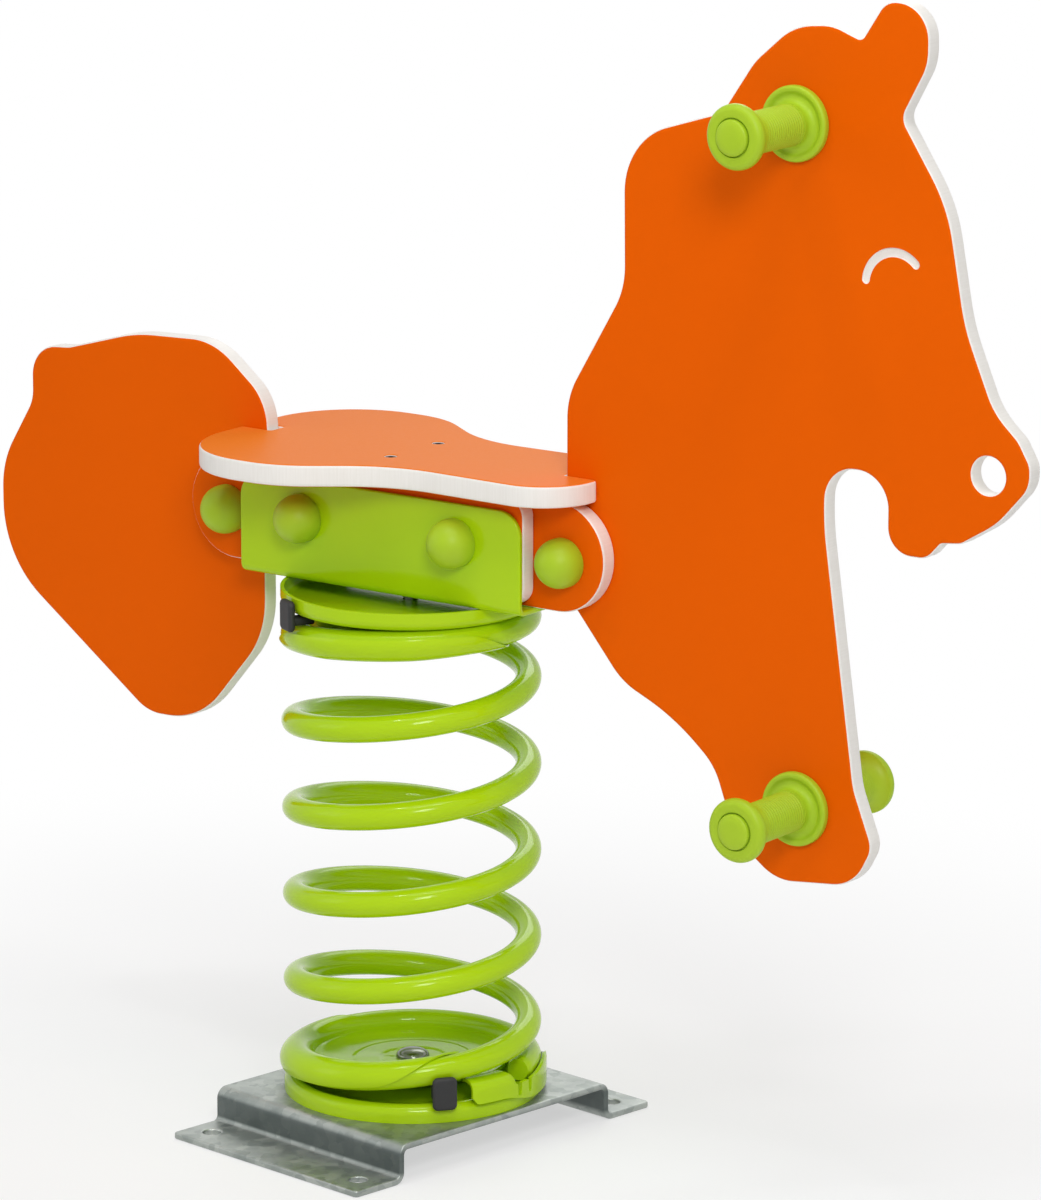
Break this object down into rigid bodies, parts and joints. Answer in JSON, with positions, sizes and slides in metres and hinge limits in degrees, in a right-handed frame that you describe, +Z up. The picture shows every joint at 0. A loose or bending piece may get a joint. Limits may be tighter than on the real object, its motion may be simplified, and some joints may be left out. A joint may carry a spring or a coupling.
{
  "type": "spring rider",
  "caption": "Board horse on a clamped coil spring with a flanged steel base plate, waisted seat, ribbed handles and footrests; rocks fore and aft and sideways for a seated child.",
  "frame": {"origin": "on the ground, on the upright axis of the coil spring", "axes": "+X the way the horse looks, +Y to the horse's left, +Z up"},
  "size_m": [0.959, 0.3464, 0.916],
  "materials": {
    "lime_steel": "smooth glossy powder coat",
    "galvanised_steel": "hot-dip galvanised, dull spangle",
    "zinc_fasteners": "zinc plated",
    "orange_board": "solid polyethylene board with orange skins and a white core, fine satin grain",
    "lime_plastic": "moulded, smooth",
    "black_rubber": "matt"
  },
  "bodies": {
    "base": {"base_plate": "galvanised_steel", "lower_clamp_plate": "lime_steel", "lower_clamp_dish": "lime_steel", "lower_pinch_block": "black_rubber", "lower_clamp_bolt": "zinc_fasteners", "lower_clamp_washer": "zinc_fasteners", "lower_clamp_nut": "zinc_fasteners"},
    "spring": {"spring": "lime_steel"},
    "rider": {"upper_clamp_plate": "lime_steel", "upper_clamp_dish": "lime_steel", "upper_pinch_block": "black_rubber", "upper_clamp_bolt": "zinc_fasteners", "upper_clamp_washer": "zinc_fasteners", "upper_clamp_nut": "zinc_fasteners", "saddle_bracket": "lime_steel", "spacer_board_right": "orange_board", "spacer_board_left": "orange_board", "link_board_right": "orange_board", "link_board_left": "orange_board", "head_panel": "orange_board", "tail_panel": "orange_board", "seat_board": "orange_board", "seat_screws": "zinc_fasteners", "bracket_bolts": "zinc_fasteners", "link_bolts": "zinc_fasteners", "bolt_washers": "zinc_fasteners", "bolt_nuts": "zinc_fasteners", "bracket_caps": "lime_plastic", "link_caps": "lime_plastic", "handle_rod": "zinc_fasteners", "handle_nuts": "zinc_fasteners", "handle_grip_right": "lime_plastic", "handle_grip_left": "lime_plastic", "handle_caps": "lime_plastic", "footrest_rod": "zinc_fasteners", "footrest_nuts": "zinc_fasteners", "footrest_grip_right": "lime_plastic", "footrest_grip_left": "lime_plastic", "footrest_caps": "lime_plastic"}
  },
  "joints": [
    {"name": "rock_fore_aft", "type": "hinge", "parent": "base", "child": "spring", "pos_m": [0, 0, 0.138], "axis": [0, 1, 0], "range_deg": [-20, 20], "stiffness_Nm_per_rad": 1000, "springref_deg": -0.39, "deforming": ["spring"]},
    {"name": "rock_side", "type": "hinge", "parent": "spring", "child": "rider", "pos_m": [0, 0, 0.324], "axis": [1, 0, 0], "range_deg": [-14, 14], "stiffness_Nm_per_rad": 1000, "deforming": ["spring"]}
  ]
}
